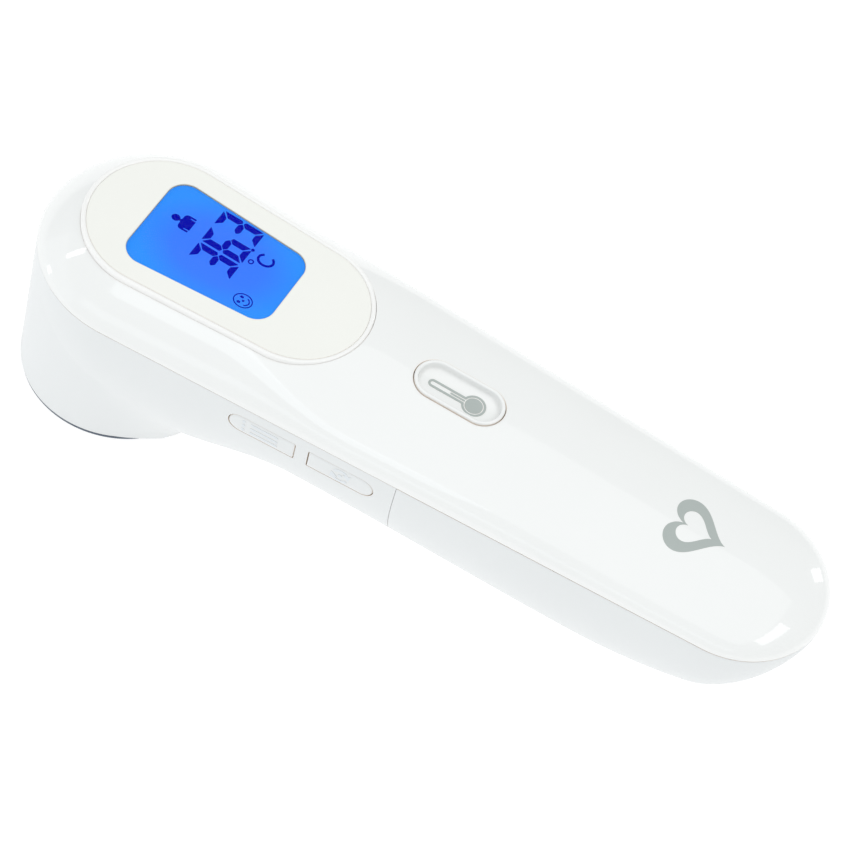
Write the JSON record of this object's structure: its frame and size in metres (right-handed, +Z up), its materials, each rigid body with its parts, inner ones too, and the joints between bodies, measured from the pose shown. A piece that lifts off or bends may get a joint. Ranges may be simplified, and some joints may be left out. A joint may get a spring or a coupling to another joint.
{
  "type": "infrared thermometer",
  "caption": "Hand-held infrared thermometer: round head with a display over a downward sensor mouth, tapering handle with push buttons and a battery cover that slides off.",
  "frame": {"origin": "centre of the sensor mouth, on the flat face of its rim", "axes": "+X from the head towards the tail, +Z up from the sensor mouth through the display, -Y the side with the two side buttons"},
  "size_m": [0.1556, 0.0436, 0.0441],
  "materials": {
    "shell_gloss": "glossy white ABS",
    "shell_satin": "satin white ABS",
    "bezel_cream": "satin cream plastic",
    "clear_window": "clear, polished",
    "display_blue": "lit blue liquid-crystal glass",
    "light_guide": "milky acrylic",
    "frame_white": "white moulded plastic",
    "strip_rubber": "striped elastomer",
    "board_green": "solder mask over glass fibre laminate",
    "chip_black": "black moulding compound",
    "parts_tan": "ceramic parts",
    "plunger_grey": "dark moulded plastic",
    "switch_steel": "tinned steel shell",
    "rim_slate": "satin slate plastic",
    "plate_dark": "satin dark plastic",
    "cone_chrome": "polished metal cone",
    "can_metal": "nickel-plated can",
    "filter_dark": "coated silicon window",
    "ribbon_amber": "polyimide film",
    "tray_white": "moulded plastic",
    "cell_jacket": "printed jacket over a metal can",
    "contact_plate": "nickel-plated steel",
    "lead_red": "insulated wire",
    "screw_steel": "zinc-plated steel"
  },
  "bodies": {
    "case": {"top_cover": "shell_gloss", "lower_shell": "shell_satin", "display_bezel": "bezel_cream", "display_window": "clear_window", "lcd_glass": "display_blue", "lcd_backlight": "light_guide", "lcd_frame": "frame_white", "contact_strips": "strip_rubber", "main_board": "board_green", "controller_chip": "chip_black", "board_parts": "parts_tan", "buzzer": "chip_black", "measure_switch": "switch_steel", "side_switches": "switch_steel", "probe_ring": "rim_slate", "probe_plate": "plate_dark", "sensor_cone": "cone_chrome", "sensor_holder": "frame_white", "thermopile_sensor": "can_metal", "sensor_filter": "filter_dark", "sensor_board": "board_green", "sensor_screws": "screw_steel", "sensor_ribbon": "ribbon_amber", "battery_tray": "tray_white", "battery_1": "cell_jacket", "battery_2": "cell_jacket", "battery_springs": "contact_plate", "front_contacts": "contact_plate", "link_contact": "contact_plate", "battery_leads": "lead_red", "case_screws": "screw_steel", "board_screws": "screw_steel", "tray_screws": "screw_steel"},
    "measure": {"measure_button": "shell_gloss", "measure_plunger": "plunger_grey"},
    "mode": {"mode_button": "shell_satin", "mode_plunger": "plunger_grey"},
    "memory": {"memory_button": "shell_satin", "memory_plunger": "plunger_grey"},
    "cover": {"battery_cover": "shell_satin"}
  },
  "joints": [
    {"name": "measure_press", "type": "slide", "parent": "case", "child": "measure", "axis": [0, 0, -1], "range_m": [0, 0.0005], "stiffness_N_per_m": 600, "springref_m": -0.001},
    {"name": "mode_press", "type": "slide", "parent": "case", "child": "mode", "axis": [0, 1, 0], "range_m": [0, 0.0004], "stiffness_N_per_m": 600, "springref_m": -0.001},
    {"name": "memory_press", "type": "slide", "parent": "case", "child": "memory", "axis": [0, 1, 0], "range_m": [0, 0.0004], "stiffness_N_per_m": 600, "springref_m": -0.001},
    {"name": "battery_cover_slide", "type": "slide", "parent": "case", "child": "cover", "axis": [1, 0, 0], "range_m": [0, 0.078]}
  ]
}
